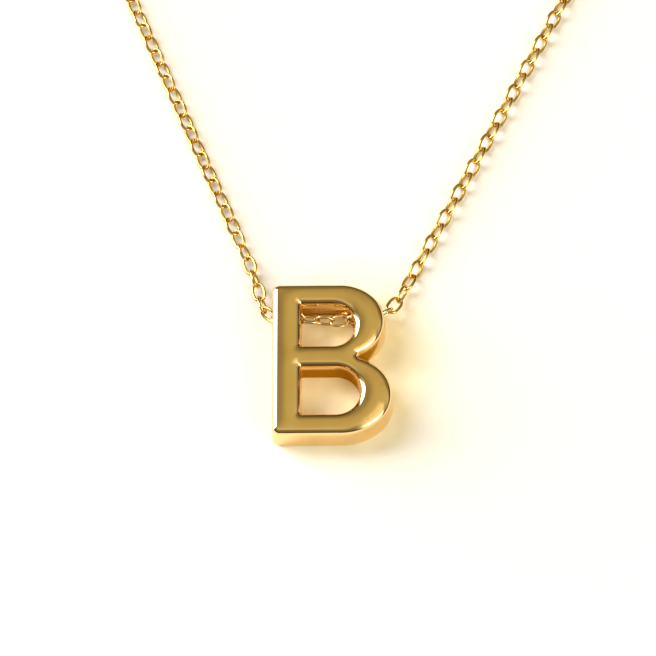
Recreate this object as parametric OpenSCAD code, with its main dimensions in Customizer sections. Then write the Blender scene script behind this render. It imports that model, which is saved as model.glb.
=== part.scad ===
// Initial pendant: a polished slide letter threaded on a fine cable chain with a clasp.
// The letter lies on its flat back. Its origin is the middle of that back, +Y is the letter's
// top, where the chain leaves it, and +Z is the polished front.

/* [Letter] */
// Height of the letter, measured at its back
letter_h = 14.2; // [13.6:0.1:16]
// Width of the letter, measured at its back
letter_w = 10.75; // [10.4:0.05:12.5]
// Thickness of the letter from back to front
letter_t = 3.2; // [2.8:0.1:4.2]
// Width of the upright stem
stem_w = 2.65; // [2.3:0.05:2.9]
// Height of each of the three crossbars
bar_w = 2; // [1.8:0.05:2.2]
// How far the upper bowl stops short of the lower bowl
upper_setback = 0.65; // [0.3:0.05:1.1]
// Width of the upper bowl's side
upper_side_w = 2.75; // [2.4:0.05:3]
// Width of the lower bowl's side
lower_side_w = 2.9; // [2.5:0.05:3.1]
// Height of the opening in the upper bowl
upper_counter_h = 3.85; // [3.6:0.05:4.1]
// How much longer than its half height the upper bowl's curve is
upper_sweep = 0.45; // [0.2:0.05:0.7]
// How much longer than its half height the lower bowl's curve is
lower_sweep = 0.8; // [0.5:0.05:1]
// How far each bowl's curve would run on past the middle of the crossbar between them
bowl_dip = 0.2; // [0.12:0.01:0.28]
// Slope of the outer walls, so that the casting leaves its mould
draft_angle = 2.4; // [1:0.1:3.4]
// Slope of the walls inside the two openings
opening_draft = 0.5; // [0.3:0.1:1.5]
// Radius of the shoulder between the front and the walls
shoulder_r = 0.5; // [0.3:0.01:0.52]
// Radius of the stem's two outer corners
corner_r = 0.8; // [0.75:0.01:1]
// Radius at the bottom of the notch between the bowls
notch_r = 0.12; // [0.08:0.01:0.3]

/* [Chain] */
// Width of the chain's links, which is the width of the solid that stands for it
chain_w = 1.3; // [1:0.05:1.4]
// Room round the chain in the letter's cross hole
hole_room = 0.25; // [0.2:0.01:0.35]
// How far the cross hole's edge stays below the top crossbar
hole_below_bar = 0; // [0:0.01:0.3]
// How high the cross hole's axis lies above the letter's back
hole_rise = 1.55; // [1.5:0.01:1.65]

/* [Clasp] */
// Length of the clasp's closed ring
clasp_l = 6.8; // [6:0.1:7]
// Width of the clasp's closed ring
clasp_w = 4.6; // [4:0.1:6]
// Thickness of the clasp's bar
clasp_bar = 1.3; // [1:0.05:1.5]
// Diameter across each of the clasp's two eyes
eye_w = 2.4; // [2:0.05:2.5]
// Thickness of the eyes' wire
eye_wire = 0.6; // [0.4:0.02:0.7]
// How far each eye sinks into the ring's end, where it is soldered
eye_sink = 0.25; // [0.15:0.01:0.3]
// Diameter of the thumb knob on the clasp's side
knob_d = 1.1; // [0.8:0.05:1.3]

/* [Hidden] */
$fn = 64;

// How far a cutting solid reaches past the face that it cuts
past = 0.5;

// Where the chain runs, from one of the clasp's eyes round to the other. Each point has its
// place along X, its place along Y from the cross hole's axis, and the height of the chain's
// underside.
route = [
    [-1.1, 176.8, 0],
    [-19.1, 171.8, 0],
    [-35.1, 160.3, 0],
    [-46.6, 143.8, 0],
    [-51.1, 124.8, 0],
    [-48.6, 103.8, 0],
    [-41.1, 85.3, 0],
    [-32.1, 63.8, 0],
    [-23.1, 42.8, 0],
    [-16.1, 26.3, 0],
    [-11.6, 15.6, 0],
    [-8.5, 8.3, 0],
    [-7, 4.5, 0],
    [-6.5, 2.7, 0.15],
    [-6.2, 1.4, 0.45],
    [-5.9, 0.55, 0.75],
    [-5.2, 0.15, 0.85],
    [-3.9, 0.1, 0.85],
    [-2.3, 0.05, 0.8],
    [-0.1, -0.15, 0.7],
    [2.1, 0.05, 0.8],
    [3.5, 0.1, 0.85],
    [4.3, 0.2, 0.85],
    [5, 0.75, 0.65],
    [5.6, 1.55, 0.4],
    [6.2, 2.6, 0.15],
    [6.8, 3.8, 0],
    [8.9, 7.8, 0],
    [12.9, 15.4, 0],
    [18.4, 26, 0],
    [26.9, 42.3, 0],
    [37.4, 62.4, 0],
    [47.9, 82.3, 0],
    [56.9, 101.3, 0],
    [60.4, 121.8, 0],
    [55.4, 144.8, 0],
    [42.4, 162.3, 0],
    [25.9, 172.8, 0],
    [10.4, 176.8, 0]
];

// Sides of the chain's solid, and the longest step between its rings
chain_sides = 8;
ring_step = 8;

// Edges of the letter at its back
left = -letter_w / 2;
top = letter_h / 2;
lower_right = letter_w / 2;
upper_right = lower_right - upper_setback;

// The middle crossbar's middle line is where the two bowls meet
waist = top - 1.5 * bar_w - upper_counter_h;

// A bowl is a little longer than a half circle, so it has a small arc for its side and a large
// one each for its top and its bottom. They part at the angle of a triangle with sides 3, 4, 5.
side_turn = atan2(4, 3);
rim_w = 1.8;
upper_half = (top - waist + bowl_dip) / 2;
lower_half = (top + waist + bowl_dip) / 2;
upper_side_r = upper_half - upper_sweep / 2;
lower_side_r = lower_half - lower_sweep / 2;
upper_back_r = upper_half + 2 * upper_sweep;
lower_back_r = lower_half + 2 * lower_sweep;
upper_side = [upper_right - upper_side_r, top - upper_half];
lower_side = [lower_right - lower_side_r, lower_half - top];

// Middle of a large arc, from the small arc's middle and the difference of their radii
function back_mid(side_mid, part, up) = side_mid + part * [-0.6, up * 0.8];

// Middles of the large arcs that meet at the notch: the upper bowl's bottom, the lower bowl's top
upper_back = back_mid(upper_side, upper_back_r - upper_side_r, 1);
lower_back = back_mid(lower_side, lower_back_r - lower_side_r, -1);

// The notch's round lies against both bowls from outside, and bites this far into their sides
notch_bite = 0.006;
upper_reach = upper_back_r + notch_r - notch_bite;
lower_reach = lower_back_r + notch_r - notch_bite;
bowl_gap = norm(lower_back - upper_back);
bowl_way = (lower_back - upper_back) / bowl_gap;
along = (pow(upper_reach, 2) - pow(lower_reach, 2) + pow(bowl_gap, 2)) / (2 * bowl_gap);
aside = sqrt(pow(upper_reach, 2) - pow(along, 2));
notch = upper_back + along * bowl_way + aside * [-bowl_way[1], bowl_way[0]];

// Heights of the openings in the bowls
counter_left = left + stem_w;
lower_counter_h = letter_h - 3 * bar_w - upper_counter_h;

// Middle of the shoulder's arc, which is tangent to the sloping wall and to the front
shoulder_z = letter_t - shoulder_r;
shoulder_steps = 8;

// How far the front lies in from the back, past a sloping wall and its shoulder
function set_in(slope) = shoulder_z * tan(slope) + shoulder_r / cos(slope);

// The cross hole, just under the top crossbar
hole_d = chain_w + 2 * hole_room;
hole_y = top - bar_w - hole_below_bar - hole_d / 2;

// The middle line of the chain, through the route's points
line = [for (p = route) [p[0], p[1] + hole_y, p[2] + chain_w / 2]];
last = len(line) - 1;

// The clasp lies between the chain's two ends
clasp_mid = (line[0] + line[last]) / 2;
ring_bend = (clasp_w - clasp_bar) / 2;
ring_straight = clasp_l - clasp_w;
eye_bend = (eye_w - eye_wire) / 2;
eye_out = (clasp_l + eye_w) / 2 - eye_sink;

// Points along the shoulder's arc, between two of its angles
function shoulder(mid, from, to) = [
    for (k = [0 : shoulder_steps])
        let (a = from + (to - from) * k / shoulder_steps)
            mid + shoulder_r * [cos(a), sin(a)]
];

// Outer edge of the letter, seen along it: a sloping wall that ends at the given reach, with its
// shoulder, and the metal up to some depth behind it
module wall_section(reach, depth) {
    polygon(concat(
        [[reach - depth, 0], [reach, 0]],
        shoulder([reach - set_in(draft_angle), shoulder_z], draft_angle, 90),
        [[reach - depth, letter_t]]
    ));
}

// An opening's edge, seen along it: a cutter that widens towards the front by the same shoulder
module cut_section(reach, slope = opening_draft) {
    polygon(concat(
        [[0, -past], [reach - past * tan(slope), -past]],
        shoulder([reach + set_in(slope), shoulder_z], 180 - slope, 90),
        [[reach + set_in(slope), letter_t + past], [0, letter_t + past]]
    ));
}

// Runs a section along +X, with its reach towards +Y
module run_x(from, to) {
    translate([from, 0, 0]) rotate([90, 0, 90]) linear_extrude(to - from) children();
}

// Runs a section along +Y, with its reach towards -X
module run_y(from, to) {
    translate([0, from, 0]) rotate([90, 0, 180]) linear_extrude(to - from) children();
}

// Turns a section about an upright axis, between two angles
module turn(mid, from, to) {
    translate([mid[0], mid[1], 0])
        rotate_extrude(angle = to - from, start = from) children();
}

// The stem's left edge and its two rounded corners
module stem_edge() {
    translate([left + corner_r, 0, 0])
        run_y(corner_r - top, top - corner_r) wall_section(corner_r, corner_r);
    turn([left + corner_r, top - corner_r], 90, 180) wall_section(corner_r, corner_r);
    turn([left + corner_r, corner_r - top], 180, 270) wall_section(corner_r, corner_r);
}

// Everything between the stem's edge and the middles of the bowls
module straights() {
    translate([0, waist, 0]) {
        run_x(left + corner_r, upper_back[0]) wall_section(top - waist, top - waist);
        mirror([0, 1, 0])
            run_x(left + corner_r, lower_back[0]) wall_section(top + waist, top + waist);
    }
}

// One bowl: a rim along its three arcs, and the metal inside the rim
module bowl(side_mid, side_r, back_r) {
    low = back_mid(side_mid, back_r - side_r, 1);
    high = back_mid(side_mid, back_r - side_r, -1);
    // The rim's lower half is its upper half turned over, so the arcs meet alike at both places
    for (way = [1, -1]) translate(side_mid) scale([1, way, 1]) {
        turn([0, 0], 0, side_turn) wall_section(side_r, rim_w);
        turn(high - side_mid, side_turn, 90) wall_section(back_r, rim_w);
    }
    linear_extrude(letter_t)
        polygon(concat(
            [low + [-rim_w / 2, rim_w / 2 - back_r]],
            [for (a = [-90 : 10 : -60]) low + (back_r - rim_w / 2) * [cos(a), sin(a)]],
            [for (a = [-50 : 10 : 50]) side_mid + (side_r - rim_w / 2) * [cos(a), sin(a)]],
            [for (a = [60 : 10 : 90]) high + (back_r - rim_w / 2) * [cos(a), sin(a)]],
            [high + [-rim_w / 2, back_r - rim_w / 2]]
        ));
}

// The metal between the bowls, rounded at the bottom of the notch
module notch_web() {
    difference() {
        linear_extrude(letter_t)
            polygon([
                upper_back,
                notch,
                lower_back,
                [lower_back[0], waist],
                [upper_back[0], waist]
            ]);
        turn(notch, 0, 360) cut_section(notch_r, draft_angle);
    }
}

// The opening in a bowl: straight on the stem's side, round on the other
module counter(bottom, height, right) {
    half = height / 2;
    mid = [right - half, bottom + half];
    turn(mid, -90, 90) cut_section(half);
    intersection() {
        translate([0, mid[1], 0])
            for (side = [0, 1])
                mirror([0, side, 0]) run_x(left, mid[0]) cut_section(half);
        translate([mid[0], mid[1], 0])
            run_y(-height, height) cut_section(mid[0] - counter_left);
    }
}

// The hole that the chain runs through, from side to side
module cross_hole() {
    translate([0, hole_y, hole_rise])
        rotate([0, 90, 0]) cylinder(h = 2 * letter_w, d = hole_d, center = true);
}

module letter() {
    color([0.78, 0.62, 0.32])
        difference() {
            union() {
                stem_edge();
                straights();
                bowl(upper_side, upper_side_r, upper_back_r);
                bowl(lower_side, lower_side_r, lower_back_r);
                notch_web();
            }
            counter(waist + bar_w / 2, upper_counter_h, upper_right - upper_side_w);
            counter(bar_w - top, lower_counter_h, lower_right - lower_side_w);
            cross_hole();
        }
}

// Length of one stretch of the route, and the direction of the curve at one of its points
function stretch(i) = norm(line[i + 1] - line[i]);
function heading(i) = (line[i + 1] - line[i]) / stretch(i);
function slope(i) =
    i == 0 ? 2 * heading(0) - slope(1) :
    i == last ? 2 * heading(last - 1) - slope(last - 1) :
    let (before = stretch(i - 1), after = stretch(i))
        (after * heading(i - 1) + before * heading(i)) / (before + after);

// Point on the smooth curve between two route points, at a share of the way
function curve(i, t) =
    let (h = stretch(i), u = 1 - t)
        u * u * (1 + 2 * t) * line[i] + t * t * (3 - 2 * t) * line[i + 1]
        + h * t * u * (u * slope(i) - t * slope(i + 1));

function steps(i) = ceil(stretch(i) / ring_step);

ring_mids = [
    for (i = [0 : last - 1]) for (k = [0 : steps(i) - 1]) curve(i, k / steps(i)),
    line[last]
];
ring_last = len(ring_mids) - 1;

// Points of one ring, square to the curve
function ring(j) =
    let (
        way = ring_mids[min(j + 1, ring_last)] - ring_mids[max(j - 1, 0)],
        side = cross(way, [0, 0, 1]) / norm(cross(way, [0, 0, 1])),
        up = cross(side, way) / norm(way)
    )
    [
        for (k = [0 : chain_sides - 1])
            let (a = 360 * k / chain_sides)
                ring_mids[j] + chain_w / 2 * (cos(a) * side + sin(a) * up)
    ];

module chain() {
    wall = [
        for (j = [0 : ring_last - 1]) for (k = [0 : chain_sides - 1])
            let (a = j * chain_sides, b = (k + 1) % chain_sides)
                [a + k, a + b, a + chain_sides + b, a + chain_sides + k]
    ];
    near_end = [for (k = [chain_sides - 1 : -1 : 0]) k];
    far_end = [for (k = [0 : chain_sides - 1]) ring_last * chain_sides + k];
    color([0.83, 0.66, 0.35])
        polyhedron(
            points = [for (j = [0 : ring_last]) each ring(j)],
            faces = concat(wall, [near_end, far_end])
        );
}

// A round bar bent to half a turn, open towards -X
module bend(radius, thick) {
    rotate_extrude(angle = 180, start = -90) translate([radius, 0]) circle(d = thick);
}

module clasp() {
    color([0.8, 0.63, 0.33])
        translate([clasp_mid[0], clasp_mid[1], clasp_bar / 2]) {
            for (side = [0, 1])
                mirror([side, 0, 0]) {
                    translate([ring_straight / 2, 0, 0]) bend(ring_bend, clasp_bar);
                    translate([eye_out, 0, 0])
                        rotate_extrude(start = 180) translate([eye_bend, 0]) circle(d = eye_wire);
                }
            for (side = [-1, 1])
                translate([0, side * ring_bend, 0])
                    rotate([0, 90, 0])
                        cylinder(h = ring_straight, d = clasp_bar, center = true);
            translate([0, clasp_w / 2, 0]) sphere(d = knob_d);
        }
}

letter();
chain();
clasp();
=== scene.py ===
# %% [markdown]
# # A letter pendant on a fine cable chain
#
# The real object is a small cast letter, plated with gold and polished like a mirror. A fine
# chain runs through a hole drilled from side to side, so the letter slides on it. This lesson
# dresses a finished engineering model of that necklace. The engineering model is loaded first and
# never moved, and every piece is built in that same frame. Blender's own unit is the metre. The
# sizes of the small pieces are written in millimetres, and mm turns them into metres.

# %% Load the engineering model
import math

import bpy
import numpy as np
from mathutils import Matrix, Vector
from mathutils.geometry import delaunay_2d_cdt


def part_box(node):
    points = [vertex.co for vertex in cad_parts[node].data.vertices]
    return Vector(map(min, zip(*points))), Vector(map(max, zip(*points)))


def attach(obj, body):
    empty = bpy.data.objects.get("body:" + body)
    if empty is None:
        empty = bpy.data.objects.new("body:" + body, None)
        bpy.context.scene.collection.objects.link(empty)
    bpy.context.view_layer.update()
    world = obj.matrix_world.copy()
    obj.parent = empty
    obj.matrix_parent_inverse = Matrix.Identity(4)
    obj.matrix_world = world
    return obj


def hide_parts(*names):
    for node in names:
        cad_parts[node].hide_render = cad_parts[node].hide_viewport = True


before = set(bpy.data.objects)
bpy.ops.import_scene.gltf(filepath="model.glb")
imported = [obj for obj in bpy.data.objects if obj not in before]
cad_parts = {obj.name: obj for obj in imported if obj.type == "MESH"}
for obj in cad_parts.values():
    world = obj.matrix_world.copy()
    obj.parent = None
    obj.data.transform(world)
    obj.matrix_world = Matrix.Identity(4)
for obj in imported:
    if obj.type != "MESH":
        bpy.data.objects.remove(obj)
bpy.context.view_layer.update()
mm = 0.001

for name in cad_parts:
    low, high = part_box(name)
    print(name, "runs from", [round(v / mm, 2) for v in low], "to", [round(v / mm, 2) for v in high])

# %% [markdown]
# ## The camera
#
# The picture looks steeply down at a necklace that lies on a table. The camera leans 20 degrees
# off the upright, towards the letter's foot, so the walls along the foot show. A long lens far
# away keeps the letter's sides nearly parallel, as the picture has them. Its direction is given by
# two angles rather than by an Euler triple, because a person can read them off the picture one at
# a time.

# %% Place the camera
lean = math.radians(20)
swing = math.radians(1.2)
camera_distance = 0.4
field_wide = 58.25 * mm
sensor_wide = 36
nearest_seen = 0.01
farthest_seen = 50
aim = Vector((-0.409 * mm, 3.93 * mm, 0))

back_way = Vector((math.sin(swing) * math.cos(lean), -math.sin(lean), math.cos(swing) * math.cos(lean)))
up_way = Vector((math.sin(lean) * math.sin(swing), math.cos(lean), math.sin(lean) * math.cos(swing)))
right_way = up_way.cross(back_way)

lens = bpy.data.cameras.new("studio_camera")
lens.sensor_width = sensor_wide
lens.lens = sensor_wide * camera_distance / field_wide
lens.clip_start = nearest_seen
lens.clip_end = farthest_seen
camera = bpy.data.objects.new("studio_camera", lens)
bpy.context.scene.collection.objects.link(camera)
turn = Matrix((right_way, up_way, back_way)).transposed()
camera.matrix_world = Matrix.Translation(aim + back_way * camera_distance) @ turn.to_4x4()
bpy.context.scene.camera = camera
print("the lens is", round(lens.lens), "mm long")

# %% [markdown]
# ## The line that the chain follows
#
# A chain laid on a table has no shape of its own, so its path is the first thing to settle. These
# points were chosen one by one: each has its place across, its place up from the letter's drilled
# hole, and how far the chain is lifted off the table. Most of them lie in the part that the
# picture shows, and the rest take the plain way round to the clasp.

# %% Points of the chain's route
hole_y = 4.2
link_wide = 1.3
ROUTE = [
    (-1.1, 176.8, 0),
    (-19.1, 171.8, 0),
    (-35.1, 160.3, 0),
    (-46.6, 143.8, 0),
    (-51.1, 124.8, 0),
    (-48.6, 103.8, 0),
    (-41.1, 85.3, 0),
    (-32.1, 63.8, 0),
    (-23.1, 42.8, 0),
    (-16.1, 26.3, 0),
    (-11.6, 15.6, 0),
    (-8.5, 8.3, 0),
    (-7, 4.5, 0),
    (-6.5, 2.7, 0.15),
    (-6.2, 1.4, 0.45),
    (-5.9, 0.55, 0.75),
    (-5.2, 0.15, 0.85),
    (-3.9, 0.1, 0.85),
    (-2.3, 0.05, 0.8),
    (-0.1, -0.15, 0.7),
    (2.1, 0.05, 0.8),
    (3.5, 0.1, 0.85),
    (4.3, 0.2, 0.85),
    (5, 0.75, 0.65),
    (5.6, 1.55, 0.4),
    (6.2, 2.6, 0.15),
    (6.8, 3.8, 0),
    (8.9, 7.8, 0),
    (12.9, 15.4, 0),
    (18.4, 26, 0),
    (26.9, 42.3, 0),
    (37.4, 62.4, 0),
    (47.9, 82.3, 0),
    (56.9, 101.3, 0),
    (60.4, 121.8, 0),
    (55.4, 144.8, 0),
    (42.4, 162.3, 0),
    (25.9, 172.8, 0),
    (10.4, 176.8, 0),
]
route = np.array(ROUTE) + (0, hole_y, link_wide / 2)

# %% [markdown]
# A smooth curve through the points comes from cubic pieces that share their slopes. At each point
# the slope is the average of the two directions that meet there, and the nearer neighbour counts
# for more. Blender's own curves could do this too, but a few lines of numpy give the distance along
# the line at once, and the links need it.

# %% Smooth the route
spans = np.linalg.norm(np.diff(route, axis=0), axis=1)[:, None]
headings = np.diff(route, axis=0) / spans
slopes = np.empty_like(route)
slopes[1:-1] = (spans[1:] * headings[:-1] + spans[:-1] * headings[1:]) / (spans[1:] + spans[:-1])
slopes[0] = 2 * headings[0] - slopes[1]
slopes[-1] = 2 * headings[-1] - slopes[-2]
steps_per_span = 60
share = np.linspace(0, 1, steps_per_span, endpoint=False)[:, None]
left_over = 1 - share
pieces = [
    left_over**2 * (1 + 2 * share) * route[i]
    + share**2 * (3 - 2 * share) * route[i + 1]
    + spans[i] * share * left_over * (left_over * slopes[i] - share * slopes[i + 1])
    for i in range(len(route) - 1)
]
line = np.concatenate([*pieces, route[-1:]])
line_long = np.linalg.norm(np.diff(line, axis=0), axis=1).sum()
print("the chain's line is", round(float(line_long), 2), "mm long")

# %% [markdown]
# ## Helpers for meshes
#
# Every piece below is a closed skin made of rings of points. Neighbouring rings are joined by
# four-sided faces, which is how a lathe, a sweep and a chain link all come out of one function.

# %% Join rings into a skin
def ring_faces(rings, around, first=0, closed=False, flip=False):
    """Four-sided faces between rings of points, each of which closes on itself."""
    faces = []
    for i in range(rings if closed else rings - 1):
        here = first + i * around
        there = first + (i + 1) % rings * around
        for k in range(around):
            nxt = (k + 1) % around
            face = (here + k, here + nxt, there + nxt, there + k)
            faces.append(face[::-1] if flip else face)
    return faces


def make_piece(name, points, faces, material):
    """A mesh object from points in millimetres, shaded smooth."""
    mesh = bpy.data.meshes.new(name)
    mesh.from_pydata((np.asarray(points) * mm).tolist(), [], faces)
    mesh.validate()
    mesh.shade_smooth()
    mesh.materials.append(material)
    piece = bpy.data.objects.new(name, mesh)
    bpy.context.scene.collection.objects.link(piece)
    return piece


def unit(vectors):
    """Vectors scaled to a length of one."""
    return vectors / np.linalg.norm(vectors, axis=-1, keepdims=True)


# %% [markdown]
# ## Gold
#
# Plated gold is a metal all the way: it has no colour under its shine, only coloured
# reflections. What keeps it from looking like plastic is small: a polish that is
# never quite even, faint hairlines from wiping, and plating that is a little paler where hands
# have rubbed it. Each of these is a noise pattern in real millimetres, so they can be read as sizes.

# %% Build shader nodes
def add(tree, kind, inputs=None, **settings):
    """A shader node with its settings and its inputs, which may be numbers or other outputs."""
    made = tree.nodes.new(kind)
    for name, value in settings.items():
        setattr(made, name, value)
    for name, value in (inputs or {}).items():
        if isinstance(value, bpy.types.NodeSocket):
            tree.links.new(value, made.inputs[name])
        else:
            made.inputs[name].default_value = value
    return made


def grain(tree, place, size, detail=2.0, stretch=(1, 1, 1)):
    """Noise whose blotches are about this many millimetres across."""
    scaled = add(tree, "ShaderNodeMapping", {"Vector": place, "Scale": stretch})
    inputs = {"Vector": scaled.outputs[0], "Scale": 1 / (size * mm), "Detail": detail}
    return add(tree, "ShaderNodeTexNoise", inputs).outputs["Fac"]


def between(tree, value, low, high, start=0.35, stop=0.65):
    """The value, taken from its own range to another one."""
    inputs = {"Value": value, "From Min": start, "From Max": stop, "To Min": low, "To Max": high}
    return add(tree, "ShaderNodeMapRange", inputs).outputs[0]


def blend(tree, share, first, second):
    """A colour that goes from the first to the second as the share goes from zero to one."""
    inputs = {"Factor": share, "A": first, "B": second}
    return add(tree, "ShaderNodeMix", inputs, data_type="RGBA").outputs["Result"]


def maths(tree, operation, *values):
    """What a sum, a product or an angle comes to."""
    return add(tree, "ShaderNodeMath", dict(enumerate(values)), operation=operation).outputs[0]


print("shader helpers:", add.__name__, grain.__name__, between.__name__, blend.__name__, maths.__name__)

# %% [markdown]
# The three golds differ in tone, polish and the size of their patterns, so one function makes them
# all; the wire's deeper tone is painted shade. The gold also reads two marks from the mesh, which are
# put there further down. Where the first is high the gold is paler and a little duller: real wear on
# the letter's shoulders, and a painted sheen on the links that lie in the letter. The second is
# painted shade: a deep amber, dull and hardly metallic, where walls and wires face into shade.

# %% Make the golds
# The amber, with the duller and barely metallic finish that goes with it, is painted shade for walls and
# wires that face into shade.
shade_amber = (0.44, 0.19, 0.003, 1)
wipe_stretch = (6, 0.35, 1)
hairline_deep = 0.0002
wear_patch = 0.5
wear_dull = 0.12
shaded_grain = 0.2
shaded_smooth, shaded_dull = 0.2, 0.45
shaded_metal = 0.1


def gold(name, deep, bright, smooth, dull, blotch, hairline, ripple):
    """Polished gold plate: two tones, a range of polish, hairlines and a soft ripple."""
    made = bpy.data.materials.new(name)
    made.use_nodes = True
    tree = made.node_tree
    tree.nodes.clear()
    place = add(tree, "ShaderNodeTexCoord").outputs["Object"]
    wipes = grain(tree, place, hairline, 3.0, wipe_stretch)
    swell = grain(tree, place, blotch * 0.7, 1.0)
    wear_and_sheen = add(tree, "ShaderNodeAttribute", attribute_name="wear_and_sheen").outputs["Fac"]
    wear_and_sheen_patches = maths(tree, "MULTIPLY", wear_and_sheen, grain(tree, place, wear_patch))
    painted_shade = add(tree, "ShaderNodeAttribute", attribute_name="painted_shade").outputs["Fac"]

    tone = blend(tree, between(tree, grain(tree, place, blotch), 0, 1), deep, bright)
    paler = [(c + 1) / 2 for c in bright[:3]] + [1]
    # Paler where the letter is worn, and a painted sheen on the links that lie in the letter.
    wear_and_sheen_tone = blend(tree, between(tree, wear_and_sheen_patches, 0, 1, 0, 1), tone, paler)
    # Painted shade: a deep amber where the mesh is marked.
    colour = blend(tree, painted_shade, wear_and_sheen_tone, shade_amber)

    polish = between(tree, wipes, smooth, dull)
    rubbed_polish = maths(tree, "ADD", polish, between(tree, wear_and_sheen_patches, 0, wear_dull, 0, 1))
    shaded_roughness = between(tree, grain(tree, place, shaded_grain), shaded_smooth, shaded_dull)
    roughness = maths(tree, "MULTIPLY_ADD", shaded_roughness, painted_shade, rubbed_polish)

    waves = add(tree, "ShaderNodeBump", {"Strength": 1.0, "Distance": ripple * mm, "Height": swell})
    inputs = {"Strength": 1.0, "Distance": hairline_deep * mm, "Height": wipes, "Normal": waves.outputs[0]}
    lines = add(tree, "ShaderNodeBump", inputs)
    inputs = {
        "Base Color": colour,
        "Roughness": roughness,
        "Normal": lines.outputs[0],
        "Metallic": between(tree, painted_shade, 1.0, shaded_metal, 0, 1),
    }
    shader = add(tree, "ShaderNodeBsdfPrincipled", inputs)
    shader.inputs["Specular IOR Level"].default_value = 0
    add(tree, "ShaderNodeOutputMaterial", {"Surface": shader.outputs[0]})
    return made


letter_gold = gold(
    "polished_gold",
    deep=(0.93, 0.645, 0.28, 1),
    bright=(0.95, 0.685, 0.32, 1),
    smooth=0.035,
    dull=0.085,
    blotch=3.0,
    hairline=0.12,
    ripple=0.004,
)
# The wire's gold is a deeper tone than the letter's: painted shade for the dark room that its thin wires
# mirror.
shaded_chain_gold = gold(
    "wire_gold",
    deep=(0.65, 0.41, 0.085, 1),
    bright=(0.81, 0.56, 0.165, 1),
    smooth=0.07,
    dull=0.16,
    blotch=1.1,
    hairline=0.05,
    ripple=0.001,
)
clasp_gold = gold(
    "clasp_gold",
    deep=(0.92, 0.60, 0.18, 1),
    bright=(0.96, 0.67, 0.23, 1),
    smooth=0.08,
    dull=0.18,
    blotch=2.0,
    hairline=0.08,
    ripple=0.002,
)
print("golds:", letter_gold.name, shaded_chain_gold.name, clasp_gold.name)

# %% [markdown]
# ## The chain's links
#
# A cable chain is made of oval rings of drawn wire. Each link is closed by a dot of solder and
# turned about a quarter turn from its neighbours, so that their ends can lie inside each other.
# One link is modelled here as a round wire bent round a full oval, a little squarer than an
# ellipse because it was wound on a flat pin. It is slightly thicker at the solder. Hundreds of
# links have to stay light, so the wire has only ten sides, and smooth shading hides them.

# %% Shape one link
wire = 0.27
link_long = 1.92
fullness = 2.5
around_link = 22
around_wire = 10
solder_swell = 0.1
solder_spread = 0.3

angles = np.linspace(0, 2 * math.pi, around_link, endpoint=False)[:, None]
round_x = np.sign(np.cos(angles)) * abs(np.cos(angles)) ** (2 / fullness)
round_y = np.sign(np.sin(angles)) * abs(np.sin(angles)) ** (2 / fullness)
flat = np.zeros_like(angles)
link_mids = np.hstack([(link_long - wire) / 2 * round_x, (link_wide - wire) / 2 * round_y, flat])
link_ahead = np.roll(link_mids, -1, axis=0) - np.roll(link_mids, 1, axis=0)
link_out = unit(np.cross(link_ahead, (0, 0, 1)))
to_solder = np.abs(angles - math.pi / 2)
thick = wire / 2 * (1 + solder_swell * np.exp(-((to_solder / solder_spread) ** 2)))
turns = np.linspace(0, 2 * math.pi, around_wire, endpoint=False)
link_points = np.concatenate([
    link_mids[i] + thick[i] * (np.cos(turns)[:, None] * link_out[i] + np.sin(turns)[:, None] * (0, 0, 1))
    for i in range(around_link)
])
link_faces = ring_faces(around_link, around_wire, closed=True)
print("one link has", len(link_faces), "faces")

# %% [markdown]
# The chain is laid link by link. A laid chain is pulled tight in some places and slack in others,
# so a few links are placed one by one, at their distance along the line, and the others share the
# way between them. A link lies straight between the two places where it hooks into its
# neighbours.
#
# Its roll about the line decides what the picture shows. Links lean to the left and to the right
# in turn, and the whole chain twists slowly where it climbs into the letter. So the roll is a
# slow curve through given values, in degrees, plus a step for every second link. The step is
# smaller where the chain lies flat on the table, and its links show more of their width there. No
# two links lie quite alike, so each roll also wavers by a few degrees.
#
# A link that leans lies lower than one on its edge, so the hooks on the table sink to the taller of
# the two links that meet there. Where the chain climbs, that sinking fades out.

# %% Place the hooks between the links
end_reach = 0.805
link_count = 321
first_way, last_way = unit(line[1] - line[0]), unit(line[-1] - line[-2])
ends = np.vstack([line[0] - end_reach * first_way, line, line[-1] + end_reach * last_way])
walked = np.concatenate([[0], np.cumsum(np.linalg.norm(np.diff(ends, axis=0), axis=1))])
placed_links = [-0.5, 131, 149, 154, 157, 159, 163, 174, 186, link_count - 0.5]
placed_at = [0, 180.9, 205.7, 212.6, 216.3, 219.1, 224.5, 239.6, 255.9, walked[-1]]
hooks_at = np.interp(np.arange(link_count + 1) - 0.5, placed_links, placed_at)
hooks = np.column_stack([np.interp(hooks_at, walked, ends[:, axis]) for axis in range(3)])
print("hooks are", round(np.diff(hooks_at).min(), 2), "to", round(np.diff(hooks_at).max(), 2), "mm apart")

# %% Lay the links along the line
roll_links = [0, 10, 148, 150, 152, 153, 154, 157, 158, 159, 163, 164, 165, 166, 168, 174, 310, 320]
roll_turned = [90, 144, 144, 160, 168, 155, 132, 136, 110, 98, 90, 105, 130, 140, 144, 150, 150, 90]
step_links = [148, 150, 168, 174]
step_turned = [62, 86, 86, 76]
waver, waver_pace = 4, 1.7
climb_fade = 0.8
link_numbers = np.arange(link_count)
link_rolls = np.interp(link_numbers, roll_links, roll_turned)
link_rolls += link_numbers % 2 * np.interp(link_numbers, step_links, step_turned)
link_rolls = np.radians(link_rolls + waver * np.sin(link_numbers * waver_pace))
half_tall = (link_wide - wire) / 2 * abs(np.sin(link_rolls)) + wire / 2
tallest = np.maximum(np.append(half_tall, half_tall[-1]), np.append(half_tall[0], half_tall))
lifted = np.clip((hooks[:, 2] - link_wide / 2) / climb_fade, 0, 1)
hooks[:, 2] -= (link_wide / 2 - tallest) * (1 - lifted)

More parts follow.
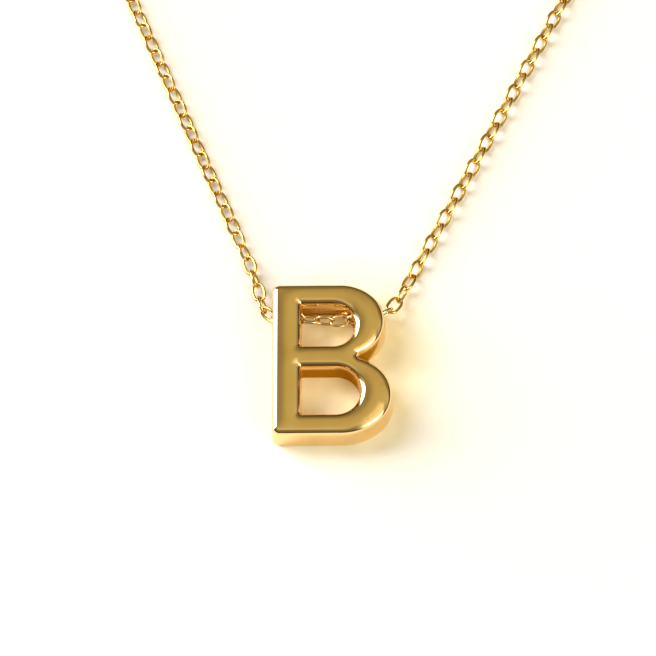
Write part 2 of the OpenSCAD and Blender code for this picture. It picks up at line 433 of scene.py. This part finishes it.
link_middles = (hooks[1:] + hooks[:-1]) / 2
link_ways = unit(np.diff(hooks, axis=0))
link_sides = unit(np.cross(link_ways, (0, 0, 1)))
link_ups = np.cross(link_sides, link_ways)

chain_points = []
chain_faces = []
for i in range(link_count):
    across = math.cos(link_rolls[i]) * link_sides[i] + math.sin(link_rolls[i]) * link_ups[i]
    normal = np.cross(link_ways[i], across)
    chain_faces += [tuple(v + i * len(link_points) for v in face) for face in link_faces]
    chain_points.append(link_middles[i] + link_points @ np.array([link_ways[i], across, normal]))
chain = make_piece("cable_chain", np.concatenate(chain_points), chain_faces, shaded_chain_gold)
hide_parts("chain")
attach(chain, "root")
print(link_count, "links,", 2 * len(chain_faces), "triangles")

# %% [markdown]
# ## The letter
#
# The letter is one casting. Its walls lean in a little so that it leaves its mould, and a rounded
# shoulder joins them to the front. The engineering model has that shoulder in a few flat
# strips, which a mirror finish would show, so the same letter is built again here with many more
# points. Its outline is made of straight edges and arcs that all keep their middles when the
# outline shrinks, so one function draws it at any depth of the shoulder. A bowl is a little longer
# than a half circle: a small arc for its side, and a large one each for its bottom and its top. The
# arcs meet without a kink, because the way between their middles leads through the place where they
# meet. Those ways follow a triangle with sides of 3, 4 and 5, which keeps the sums short.

# %% Sizes of the letter
low_corner, high_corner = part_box("letter")
letter_left, letter_top = low_corner.x / mm, high_corner.y / mm
letter_right, letter_thick = high_corner.x / mm, high_corner.z / mm
stem_wide = 2.65
bar_high = 2.0
upper_setback = 0.65
upper_side_wide = 2.75
lower_side_wide = 2.9
upper_opening_high = 3.85
upper_sweep = 0.45
lower_sweep = 0.8
bowl_dip = 0.2
outer_slope = math.radians(2.4)
opening_slope = math.radians(0.5)
shoulder_r = 0.5
corner_r = 0.8
notch_r = 0.12
spacing = 0.1

waist = letter_top - 1.5 * bar_high - upper_opening_high
upper_half = (letter_top - waist + bowl_dip) / 2
lower_half = (letter_top + waist + bowl_dip) / 2
side_turn = math.atan2(4, 3)
back_run, back_rise = 0.6, 0.8


def bowl(right, middle, half, sweep):
    """The three arcs of a bowl, from its bottom up, each with its middle and its radius."""
    side_r, back_r = half - sweep / 2, half + 2 * sweep
    x, shift = right - side_r, back_r - side_r
    return [
        (np.array([x - back_run * shift, middle + back_rise * shift]), back_r),
        (np.array([x, middle]), side_r),
        (np.array([x - back_run * shift, middle - back_rise * shift]), back_r),
    ]


lower_bowl = bowl(letter_right, lower_half - letter_top, lower_half, lower_sweep)
upper_bowl = bowl(letter_right - upper_setback, letter_top - upper_half, upper_half, upper_sweep)
(upper_mid, upper_r), (lower_mid, lower_r) = upper_bowl[0], lower_bowl[2]
between_mids = np.linalg.norm(lower_mid - upper_mid)
bowl_way = (lower_mid - upper_mid) / between_mids
along = ((upper_r + notch_r) ** 2 - (lower_r + notch_r) ** 2 + between_mids**2) / (2 * between_mids)
aside = math.sqrt((upper_r + notch_r) ** 2 - along**2)
notch_mid = upper_mid + along * bowl_way + aside * np.array([-bowl_way[1], bowl_way[0]])
print("the notch between the bowls is centred on", notch_mid.round(2))

# %% [markdown]
# The shoulder and the walls are rings of points, one above the other, and each ring needs the same
# number of points. So an edge or an arc takes its number of points from its full size, whatever
# depth it is drawn at.

# %% Draw the outline at any depth
quarter = math.pi / 2
tiny_arc = 0.4


def arc(mid, radius, start, stop, reach):
    """Points along an arc, without its last one, spaced for a radius of reach."""
    count = max(4, round(reach * abs(stop - start) / spacing))
    turn = start + (stop - start) * np.arange(count) / count
    return np.array(mid) + radius * np.column_stack([np.cos(turn), np.sin(turn)])


def straight(start, stop, reach):
    """Points along a straight edge, without its last one, as many as an edge of length reach needs."""
    count = round(reach / spacing)
    return np.array(start) + np.outer(np.arange(count) / count, np.subtract(stop, start))


def way(start, stop):
    """The angle of the direction from one point to another."""
    return math.atan2(stop[1] - start[1], stop[0] - start[0])


def bowl_edge(arcs, turned_to, inset):
    """The three arcs of a bowl, drawn in by inset."""
    return [arc(mid, r - inset, turned_to[i], turned_to[i + 1], r) for i, (mid, r) in enumerate(arcs)]


def letter_outline(inset):
    """The letter's outer edge, drawn in by inset."""
    left, top = letter_left + inset, letter_top - inset
    corner = max(corner_r - inset, 0)
    tall = 2 * (letter_top - corner_r)
    low_x, high_x = lower_mid[0], upper_mid[0]
    into_notch, out_of_notch = way(lower_mid, notch_mid), way(upper_mid, notch_mid)
    lower_turns = [-quarter, -side_turn, side_turn, into_notch]
    upper_turns = [out_of_notch, -side_turn, side_turn, quarter]
    return np.concatenate([
        straight((left + corner, -top), (low_x, -top), low_x - letter_left - corner_r),
        *bowl_edge(lower_bowl, lower_turns, inset),
        arc(notch_mid, notch_r + inset, into_notch + math.pi, out_of_notch + math.pi, tiny_arc),
        *bowl_edge(upper_bowl, upper_turns, inset),
        straight((high_x, top), (left + corner, top), high_x - letter_left - corner_r),
        arc((left + corner, top - corner), corner, quarter, 2 * quarter, corner_r),
        straight((left, top - corner), (left, corner - top), tall),
        arc((left + corner, corner - top), corner, 2 * quarter, 3 * quarter, corner_r),
    ])


opening_corner = 0.16


def opening_outline(bottom, high, right, widen):
    """The edge of the opening in a bowl, widened towards the front by widen."""
    half = high / 2
    mid = (right - half, bottom + half)
    left = letter_left + stem_wide - widen
    reach = half + widen
    top, low = mid[1] + reach, mid[1] - reach
    wide = mid[0] - letter_left - stem_wide - opening_corner
    tall = high - 2 * opening_corner
    r = opening_corner + widen / 2
    return np.concatenate([
        straight((left + r, low), (mid[0], low), wide),
        arc(mid, reach, -quarter, quarter, half),
        straight((mid[0], top), (left + r, top), wide),
        arc((left + r, top - r), r, quarter, 2 * quarter, tiny_arc),
        straight((left, top - r), (left, low + r), tall),
        arc((left + r, low + r), r, 2 * quarter, 3 * quarter, tiny_arc),
    ])


def upper_opening(widen):
    """The edge of the opening in the upper bowl."""
    right = letter_right - upper_setback - upper_side_wide
    return opening_outline(waist + bar_high / 2, upper_opening_high, right, widen)


def lower_opening(widen):
    """The edge of the opening in the lower bowl."""
    high = 2 * letter_top - 3 * bar_high - upper_opening_high
    return opening_outline(bar_high - letter_top, high, letter_right - lower_side_wide, widen)


print("the outline has", len(letter_outline(0)), "points")

# %% [markdown]
# The wall is a list of levels, each with its height and how far the edge has moved in. It starts
# with a tiny round at the back, climbs the sloping wall, and turns over the shoulder. A
# polishing wheel never leaves a truly flat front: it takes a little more off near the edges. So the
# shoulder stops a few degrees before level, and the front goes on from there as a very
# shallow pillow.

# %% Levels from the back to the front
back_round = 0.05
pillow_slope = math.radians(2.6)
pillow_high = 0.036
back_steps = 4
wall_steps = 7
shoulder_steps = 14
shoulder_z = letter_thick - pillow_high - shoulder_r


def levels(slope):
    """How far in and how high each level of a wall with this slope lies."""
    tilts = np.linspace(0, quarter, back_steps)
    found = [(back_round * (1 - math.sin(t)), back_round * (1 - math.cos(t))) for t in tilts]
    wall_top = shoulder_z + shoulder_r * math.sin(slope)
    for up in np.linspace(back_round, wall_top, wall_steps + 1)[1:-1]:
        found.append((up * math.tan(slope), up))
    shoulder_in = shoulder_z * math.tan(slope) + shoulder_r / math.cos(slope)
    for tilt in np.linspace(slope, quarter - pillow_slope, shoulder_steps):
        found.append((shoulder_in - shoulder_r * math.cos(tilt), shoulder_z + shoulder_r * math.sin(tilt)))
    return found


print("each wall has", len(levels(outer_slope)), "levels")

# %% Stack the walls
def stacked(outline, slope):
    """The rings of points of a wall, one at each level."""
    around = len(outline(0))
    return np.concatenate([
        np.column_stack([outline(inset), np.full(around, up)])
        for inset, up in levels(slope)
    ])


letter_points = []
letter_faces = []
loops_back = []
loops_front = []
walls = [(letter_outline, outer_slope), (upper_opening, opening_slope), (lower_opening, opening_slope)]
for outline, slope in walls:
    first = sum(len(p) for p in letter_points)
    rings = stacked(outline, slope)
    around = len(outline(0))
    letter_points.append(rings)
    letter_faces += ring_faces(len(rings) // around, around, first, flip=outline != letter_outline)
    loops_back.append(np.arange(first, first + around))
    loops_front.append(np.arange(first + len(rings) - around, first + len(rings)))
letter_points = np.concatenate(letter_points)
print("the walls have", len(letter_points), "points")

# %% [markdown]
# The front and the back are sheets with two openings in them. The front gets a fine net of
# evenly spaced points, so that it can swell: its height solves the same equation as a soap film
# blown over the outline, which rises most where the letter is wide. The net is cut to the outline
# by a triangulation that keeps given edges, which Blender brings along.

# %% Fill the front and the back
net = 0.13
row_share = 0.866
rim_clear = 0.6
same_place = 1e-7
flat_rise = 1e-12


def inside(points, loop):
    """Which points lie inside a closed loop."""
    start, stop = loop, np.roll(loop, -1, axis=0)
    above = (start[:, 1] > points[:, 1, None]) != (stop[:, 1] > points[:, 1, None])
    rise = stop[:, 1] - start[:, 1]
    rise = np.where(rise == 0, flat_rise, rise)
    cross_x = start[:, 0] + (points[:, 1, None] - start[:, 1]) * (stop[:, 0] - start[:, 0]) / rise
    return (above & (points[:, 0, None] < cross_x)).sum(axis=1) % 2 == 1


def fill(loops, extra):
    """Triangles between the first loop and the others, through extra points."""
    flat = np.concatenate([letter_points[loop][:, :2] for loop in loops])
    edges = []
    for loop in loops:
        first = len(edges)
        edges += [(first + k, first + (k + 1) % len(loop)) for k in range(len(loop))]
    points = [Vector(p) for p in np.concatenate([flat, extra])]
    found, _, triangles, origins, _, _ = delaunay_2d_cdt(points, edges, [], 0, same_place)
    found = np.array([tuple(p) for p in found])
    middles = found[np.array(triangles)].mean(axis=1)
    keep = inside(middles, flat[: len(loops[0])])
    first = len(loops[0])
    for loop in loops[1:]:
        keep &= ~inside(middles, flat[first : first + len(loop)])
        first += len(loop)
    names = [o[0] for o in origins]
    return [tuple(names[v] for v in t) for t, k in zip(triangles, keep) if k]


rows, columns = np.mgrid[-letter_top : letter_top : net * row_share, letter_left : letter_right : net]
columns[::2] += net / 2
grid = np.column_stack([columns.ravel(), rows.ravel()])
rims = [letter_points[loop][:, :2] for loop in loops_front]
keep = inside(grid, rims[0]) & ~inside(grid, rims[1]) & ~inside(grid, rims[2])
grid = grid[keep]
nearest = np.min(np.linalg.norm(grid[:, None] - np.concatenate(rims)[None], axis=2), axis=1)
grid = grid[nearest > net * rim_clear]

rim_names = np.concatenate(loops_front)
inner_names = len(letter_points) + np.arange(len(grid))
names = np.concatenate([rim_names, inner_names])
front = [tuple(int(names[v]) for v in t) for t in fill(loops_front, grid)]
back_names = np.concatenate(loops_back)
back = [tuple(int(back_names[v]) for v in t)[::-1] for t in fill(loops_back, np.empty((0, 2)))]
rim_up = letter_points[loops_front[0][0], 2]
letter_points = np.concatenate([letter_points, np.column_stack([grid, np.full(len(grid), rim_up)])])
letter_faces += front + back
print("the front has", len(front), "triangles")

# %% [markdown]
# On a soap film each point is pulled by its neighbours until all pulls are in balance with the
# breath under it. That is a large set of plain equations, and the method of conjugate gradients
# solves it in a few hundred short rounds.

# %% Blow the front up like a soap film
most_rounds = 400
balanced = 1e-12
triangle_sides = [(t[i], t[(i + 1) % 3]) for t in front for i in range(3)]
threads = np.unique(np.sort(np.array(triangle_sides), axis=1), axis=0)
free = np.zeros(len(letter_points), bool)
free[inner_names] = True


def pull(heights):
    """How far each free point stands above the average of its neighbours, times their number."""
    step = heights[threads[:, 0]] - heights[threads[:, 1]]
    from_starts = np.bincount(threads[:, 0], step, len(heights))
    from_stops = np.bincount(threads[:, 1], step, len(heights))
    return np.where(free, from_starts - from_stops, 0)


film = np.zeros(len(letter_points))
left_out = np.where(free, 1.0, 0)
direction = left_out.copy()
for _ in range(most_rounds):
    pulled = pull(direction)
    stride = (left_out @ left_out) / (direction @ pulled)
    film += stride * direction
    rest = left_out - stride * pulled
    direction = rest + (rest @ rest) / (left_out @ left_out) * direction
    left_out = rest
    if left_out @ left_out < balanced:
        break
letter_points[:, 2] += pillow_high * film / film.max()
print("the front swells by", round(pillow_high, 3), "mm")

# %% Make the letter's mesh
letter = make_piece("initial_letter", letter_points, letter_faces, letter_gold)
print("letter:", len(letter.data.polygons), "faces")

# %% [markdown]
# ## The drilled hole
#
# The hole is drilled through the stem and the upper bowl, and each mouth of it is eased so that
# the chain runs over it without catching. The cutter is turned as on a lathe, along X, and wider
# where it meets each wall, and a boolean takes it out of the letter.

# %% Drill the hole
hole_d = 1.8
hole_up = 1.55
flare = 0.12
hole_sides = 48
crease = math.radians(32)
outer_in = hole_up * math.tan(outer_slope)
opening_in = hole_up * math.tan(opening_slope)
side_mid, side_r = upper_bowl[1]
bowl_at_hole = side_mid[0] + math.sqrt(side_r**2 - (hole_y - side_mid[1]) ** 2)
opening_half = upper_opening_high / 2
opening_mid_x = letter_right - upper_setback - upper_side_wide - opening_half
opening_mid_y = waist + bar_high / 2 + opening_half
opening_at_hole = opening_mid_x + math.sqrt(opening_half**2 - (hole_y - opening_mid_y) ** 2)
mouths = [
    (letter_left + outer_in, -1),
    (letter_left + stem_wide - opening_in, 1),
    (opening_at_hole + opening_in, -1),
    (bowl_at_hole - outer_in, 1),
]
profile = []
for mouth_x, outward in mouths:
    eased = [(mouth_x - outward * flare * (1 - s), hole_d / 2 + flare * s**2) for s in (0, 0.5, 1)]
    eased.append((mouth_x + outward * flare, hole_d / 2 + 3 * flare))
    profile += eased if outward > 0 else eased[::-1]
turned = np.linspace(0, 2 * math.pi, hole_sides, endpoint=False)
cutter_points = np.concatenate([
    np.column_stack([np.full(hole_sides, x), hole_y + r * np.cos(turned), hole_up + r * np.sin(turned)])
    for x, r in profile
])
cutter_faces = ring_faces(len(profile), hole_sides)
cutter_faces.append(tuple(range(hole_sides))[::-1])
cutter_faces.append(tuple(range(len(cutter_points) - hole_sides, len(cutter_points))))
cutter = make_piece("drill", cutter_points, cutter_faces, letter_gold)
drill = letter.modifiers.new("drill", "BOOLEAN")
drill.object = cutter
drill.solver = "EXACT"
drilled = bpy.data.meshes.new_from_object(letter.evaluated_get(bpy.context.evaluated_depsgraph_get()))
letter.modifiers.clear()
letter.data = drilled
bpy.data.objects.remove(cutter)
drilled.set_sharp_from_angle(angle=crease)
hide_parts("letter")
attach(letter, "root")
print("drilled letter:", len(drilled.polygons), "faces")

# %% [markdown]
# The walls that look towards the letter's foot are a deep, dull amber, low inside the openings and
# far into the notch between the bowls, because they mirror the shaded card below them. This lesson
# paints that shade into the gold: a deep amber, duller and hardly metallic. That may be a reflection
# of something that the picture doesn't show. This lesson takes it for cast skin, which a polishing
# wheel that comes in over the letter's top can't reach. In the notch the painted shade goes farther
# out near the front than near the back. The inner side of each link that lies outside the letter
# gets a little of it too, where its neighbours shade it.
#
# Rubbing does the opposite. Hands rub the letter's shoulders pale, which is real wear, and the links
# that lie in the letter are made paler the same way, which is a painted sheen. All of this goes on
# the mesh as numbers from zero to one, one for each point, and the gold reads them. A painted
# picture could hold the same, but it would have to be unwrapped.

# %% Mark the painted shade
def mark(piece, name, values):
    """One number a point, for the gold to read."""
    made = piece.data.attributes.new(name, "FLOAT", "POINT")
    made.data.foreach_set("value", np.asarray(values, np.float32))


def read(points, name):
    """Three numbers a point, as rows of an array."""
    found = np.empty(3 * len(points), np.float32)
    points.foreach_get(name, found)
    return found.reshape(-1, 3)


shade_height = 2.25
shade_fade = 0.3
near_opening = 0.3
notch_shade_reach = 1.0
notch_shade_lean = 0.7
notch_shade_fade = 0.5
down_from, down_gain = 0.2, 1.5
link_shade = 0.4
places = read(drilled.vertices, "co").astype(float) / mm
flat_places, heights = places[:, :2], places[:, 2]
drilled_normals = read(drilled.vertices, "normal")
faces_down = np.clip(down_from - down_gain * drilled_normals[:, 1], 0, 1)
in_upper = inside(flat_places, upper_opening(near_opening))
in_lower = inside(flat_places, lower_opening(near_opening))
# Painted shade low on the opening walls that face the letter's foot, and deep in the notch.
low_shade = (in_upper | in_lower) * faces_down * np.clip((shade_height - heights) / shade_fade, 0, 1)
from_notch = np.linalg.norm(flat_places - notch_mid, axis=1)
notch_shade = np.clip((notch_shade_reach + notch_shade_lean * heights - from_notch) / notch_shade_fade, 0, 1)
notch_shade *= faces_down * np.clip((letter_thick - shoulder_r - heights) / shade_fade, 0, 1)
mark(letter, "painted_shade", np.maximum(low_shade, notch_shade))
in_letter = (abs(link_middles[:, 0]) < letter_right) & (link_middles[:, 1] < letter_top)
# A little painted shade on the inner side of each link outside the letter.
link_inner_shade = np.tile(link_shade * np.clip(-np.cos(turns), 0, 1), around_link)
mark(chain, "painted_shade", np.outer(1 - in_letter, link_inner_shade).ravel())
# Counts the points that get the painted shade low in the openings.
print(int((low_shade > 0.5).sum()), "points lie too low for the wheel")

# %% Mark what is rubbed, and the painted sheen on the links in the letter
rubbed_tilt = 0.75
rubbed_spread = 0.2
letter_rub, link_sheen = 0.2, 1.0
off_tilt = abs(drilled_normals[:, 2] - rubbed_tilt) / rubbed_spread
mark(letter, "wear_and_sheen", letter_rub * (np.clip(1 - off_tilt, 0, 1) * (heights > shoulder_z)))
# Painted sheen: the links that lie in the letter get the pale tone too.
mark(chain, "wear_and_sheen", np.repeat(link_sheen * in_letter, len(link_points)))
# Counts the links that get the painted sheen.
print(int(in_letter.sum()), "links are rubbed by the letter")

# %% [markdown]
# ## The clasp
#
# The clasp lies outside the picture, so it is a plain one: a closed ring of round bar with an eye
# soldered to each end and a knob for the thumbnail. The ring and the eyes are bars swept along a
# path that lies flat, and the knob is a ball made of rings.

# %% Make the clasp
clasp_bar = 1.3
eye_wire = 0.6
eye_wide = 2.4
knob_wide = 1.1
clasp_low, clasp_high = (np.array(corner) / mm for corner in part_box("clasp"))
ring_wide = 4.6
ring_long = 6.8
bar_sides = 28
eye_sides = 18
knob_rings = 12
pole = 0.02
clasp_mid = np.array([(clasp_low[0] + clasp_high[0]) / 2, clasp_low[1] + ring_wide / 2, clasp_bar / 2])


def swept(path, radius, sides):
    """A round bar along a closed path that lies flat."""
    ahead = unit(np.roll(path, -1, axis=0) - np.roll(path, 1, axis=0))
    outward = np.cross(ahead, (0, 0, 1))
    turn = np.linspace(0, 2 * math.pi, sides, endpoint=False)
    return np.concatenate([
        path[i] + radius[i] * (np.cos(turn)[:, None] * outward[i] + np.sin(turn)[:, None] * (0, 0, 1))
        for i in range(len(path))
    ])


bend_r = (ring_wide - clasp_bar) / 2
half_straight = (ring_long - ring_wide) / 2
stadium = np.concatenate([
    straight((-half_straight, -bend_r), (half_straight, -bend_r), 2 * half_straight),
    arc((half_straight, 0), bend_r, -quarter, quarter, bend_r),
    straight((half_straight, bend_r), (-half_straight, bend_r), 2 * half_straight),
    arc((-half_straight, 0), bend_r, quarter, 3 * quarter, bend_r),
])
stadium = np.column_stack([stadium, np.zeros(len(stadium))])
eye_r = (eye_wide - eye_wire) / 2
eye_circle = arc((0, 0), eye_r, 0, 2 * math.pi, eye_r)
eye_circle = np.column_stack([eye_circle, np.zeros(len(eye_circle))])
eye = swept(eye_circle, np.full(len(eye_circle), eye_wire / 2), eye_sides)
clasp_points = [clasp_mid + swept(stadium, np.full(len(stadium), clasp_bar / 2), bar_sides)]
clasp_faces = ring_faces(len(stadium), bar_sides, closed=True)
eye_out = (clasp_high[0] - clasp_low[0] - eye_wide) / 2
for side in (-1, 1):
    first = sum(len(p) for p in clasp_points)
    clasp_points.append(clasp_mid + (side * eye_out, 0, 0) + eye)
    clasp_faces += ring_faces(len(eye_circle), eye_sides, first, closed=True)

first = sum(len(p) for p in clasp_points)
circle = np.column_stack([np.cos(turned), np.zeros(hole_sides), np.sin(turned)])
for tilt in np.linspace(pole, math.pi - pole, knob_rings):
    ring_at = (0, ring_wide / 2 + knob_wide / 2 * math.cos(tilt), 0)
    clasp_points.append(clasp_mid + knob_wide / 2 * math.sin(tilt) * circle + ring_at)
clasp_faces += ring_faces(knob_rings, hole_sides, first)
clasp_faces.append(tuple(range(first, first + hole_sides))[::-1])
last_ring = first + (knob_rings - 1) * hole_sides
clasp_faces.append(tuple(range(last_ring, last_ring + hole_sides)))
clasp = make_piece("clasp_ring", np.concatenate(clasp_points), clasp_faces, clasp_gold)
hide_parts("clasp")
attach(clasp, "root")
print("clasp:", len(clasp.data.polygons), "faces")

# %% [markdown]
# ## The table
#
# The necklace lies on white card. Gold throws warm light back on whatever it lies on, so the card
# is bright and yellow inside the letter's openings, where a shadow would be grey. Such thrown
# light takes very many rays to find by itself. A faint warm glow of the card under the letter,
# with soft blotches, and a warm tint up and to the right of its middle stand for it. Both fade out
# over an oval a little larger than the letter.

# %% Mix the card's colour
card_dark = (0.94, 0.89, 0.77, 1)
card_light = (0.95, 0.91, 0.79, 1)
card_tinted = (0.94, 0.82, 0.57, 1)
glow_colour = (1, 0.74, 0.28, 1)
glow_strength = 0.165
fibre_size = 0.4
blotch_size = 2.5
oval_across, oval_up = 7.5, 9
glow_shift = (-0.15, 0, 0)
tint_shift = (-0.27, -0.17, 0)
card = bpy.data.materials.new("white_card")
card.use_nodes = True
paper = card.node_tree
card_shader = paper.nodes["Principled BSDF"]
card_shader.inputs["Roughness"].default_value = 0.75
card_shader.inputs["Specular IOR Level"].default_value = 0.2
card_shader.inputs["Emission Color"].default_value = glow_colour
card_place = add(paper, "ShaderNodeTexCoord").outputs["Object"]


def out_from(shift):
    """How far out a place lies in the oval under the letter, moved by a share of the oval."""
    scale = (1 / (oval_across * mm), 1 / (oval_up * mm), 0)
    moved = add(paper, "ShaderNodeMapping", {"Vector": card_place, "Location": shift, "Scale": scale})
    return add(paper, "ShaderNodeVectorMath", {0: moved.outputs[0]}, operation="LENGTH").outputs["Value"]


fibres = between(paper, grain(paper, card_place, fibre_size, 3.0), 0, 1)
card_tone = blend(paper, fibres, card_dark, card_light)
tint = between(paper, out_from(tint_shift), 1, 0, 0.6, 1.1)
paper.links.new(blend(paper, tint, card_tone, card_tinted), card_shader.inputs["Base Color"])
glow_mask = between(paper, out_from(glow_shift), 1, 0, 0.6, 1.3)
blotches = between(paper, grain(paper, card_place, blotch_size, 1.0), 0.5, 1.2)
glow = maths(paper, "MULTIPLY", maths(paper, "MULTIPLY", glow_mask, blotches), glow_strength)
paper.links.new(glow, card_shader.inputs["Emission Strength"])
print("the card's shader has", len(paper.nodes), "nodes")

# %% Lay the card
card_wide = 6.0
corners = [(-1, -1), (1, -1), (1, 1), (-1, 1)]
floor_points = [(x * card_wide / 2 / mm, y * card_wide / 2 / mm, 0) for x, y in corners]
floor = make_piece("floor", floor_points, [(0, 1, 2, 3)], card)
print("the card is", card_wide, "m wide")

# %% [markdown]
# ## The light
#
# Polished gold shows nothing but its surroundings, so they matter more here than the light that
# falls on it. They are a dim, warm room with a few fans of brighter light, painted on the world
# by direction. Area lamps would do as well, but their edges are harder to place one by one.
#
# All directions are measured from the one in which the letter's flat front mirrors the camera's
# look. The shoulder turns away from the front, so it mirrors directions farther and farther out,
# and a fan that starts some degrees out becomes a bright band along a shoulder. The fans were
# found by trying, until the bands came where the picture has them. Near the horizon the room is
# darker, as a real room is behind the edge of a table. The camera itself sees plain white beyond
# the card.

# %% Measure directions from the front's mirror image
world = bpy.data.worlds.new("studio")
bpy.context.scene.world = world
world.use_nodes = True
sky = world.node_tree
sky.nodes.clear()
look = add(sky, "ShaderNodeTexCoord").outputs["Generated"]
face_way = Vector((-back_way.x, -back_way.y, back_way.z))
side_way = Vector((1, 0, 0)) - face_way.x * face_way
side_way.normalize()
far_way = face_way.cross(side_way)


def dot(direction):
    """How far the look direction leans towards a direction."""
    found = add(sky, "ShaderNodeVectorMath", {0: look, 1: direction}, operation="DOT_PRODUCT")
    return found.outputs["Value"]


def degrees_off(direction):
    """The angle between the look direction and a direction."""
    return maths(sky, "MULTIPLY", maths(sky, "ARCCOSINE", dot(direction)), 180 / math.pi)


def ramp(value, start, stop, low, high):
    """A soft step from low to high."""
    inputs = {"Value": value, "From Min": start, "From Max": stop, "To Min": low, "To Max": high}
    return add(sky, "ShaderNodeMapRange", inputs, interpolation_type="SMOOTHSTEP").outputs[0]


off_face = degrees_off(face_way)
round_face = maths(sky, "MULTIPLY", maths(sky, "ARCTAN2", dot(far_way), dot(side_way)), 180 / math.pi)
height = add(sky, "ShaderNodeSeparateXYZ", {0: look}).outputs["Z"]
print("the front mirrors the camera towards", [round(v, 2) for v in face_way])

# %% [markdown]
# A fan has its middle and its half width as angles round that direction, counted from the right
# towards the letter's top, and its start as an angle out from it. Each edge of it is soft, over
# the degrees that stand behind it.

# %% Light it from all round
room_lean, room_turn = math.radians(4), math.radians(-30)
room_strength = 0.205
room_colour = (1, 0.857, 0.416)


def fan(middle, half, edge, start, start_edge):
    """A fan of light round the face's own mirror direction, in degrees, from start outwards."""
    turned_off = maths(sky, "SUBTRACT", round_face, middle)
    turned_off = maths(sky, "ABSOLUTE", maths(sky, "WRAP", turned_off, 180.0, -180.0))
    across = ramp(turned_off, half - edge, half + edge, 1.0, 0.0)
    return maths(sky, "MULTIPLY", across, ramp(off_face, start - start_edge, start + start_edge, 0.0, 1.0))


def lit(mask, strength, colour):
    """A background that shines where the mask is one."""
    inputs = {"Color": (*colour, 1), "Strength": maths(sky, "MULTIPLY", mask, strength)}
    return add(sky, "ShaderNodeBackground", inputs).outputs[0]


room_way = face_way + math.tan(room_lean) * (math.cos(room_turn) * side_way + math.sin(room_turn) * far_way)
room = ramp(degrees_off(room_way.normalized()), 2.0, 12.5, 2.8, 1.25)
low_dark = ramp(height, 0.12, 0.8, 0.12, 1.0)
key_low = ramp(height, -0.02, 0.12, 0.1, 1.0)
near_dark = maths(sky, "MULTIPLY", low_dark, ramp(off_face, 34.0, 46.0, 1.0, 0.0))
fans = [
    (fan(166, 21, 4, 19, 4), key_low, 8.8, (0.97, 1, 1.16)),
    (fan(166, 30, 10, 8, 4), low_dark, 0.07, (1, 0.97, 0.95)),
    (fan(312, 20, 8, 7, 4), low_dark, 0.9, (1, 0.93, 0.75)),
    (fan(314, 16, 6, 48, 14), low_dark, 5.0, (1, 0.95, 0.85)),
    (fan(352, 14, 12, 10, 6), low_dark, 0.35, (1, 0.97, 0.85)),
    (fan(250, 32, 12, 8, 6), near_dark, 0.38, (1, 0.97, 0.85)),
    (fan(195, 5, 4, 10, 5), low_dark, 0.3, (1, 0.97, 0.9)),
]
total = lit(maths(sky, "MULTIPLY", room, low_dark), room_strength, room_colour)
for mask, fade, strength, colour in fans:
    light = lit(maths(sky, "MULTIPLY", mask, fade), strength, colour)
    total = add(sky, "ShaderNodeAddShader", {0: total, 1: light}).outputs[0]
plain = add(sky, "ShaderNodeBackground", {"Color": (1, 1, 1, 1), "Strength": 1.0})
seen = add(sky, "ShaderNodeLightPath").outputs["Is Camera Ray"]
chosen = add(sky, "ShaderNodeMixShader", {0: seen, 1: total, 2: plain.outputs[0]})
add(sky, "ShaderNodeOutputWorld", {"Surface": chosen.outputs[0]})
bpy.context.scene.view_settings.view_transform = "Standard"
print("a room and", len(fans), "fans of light")
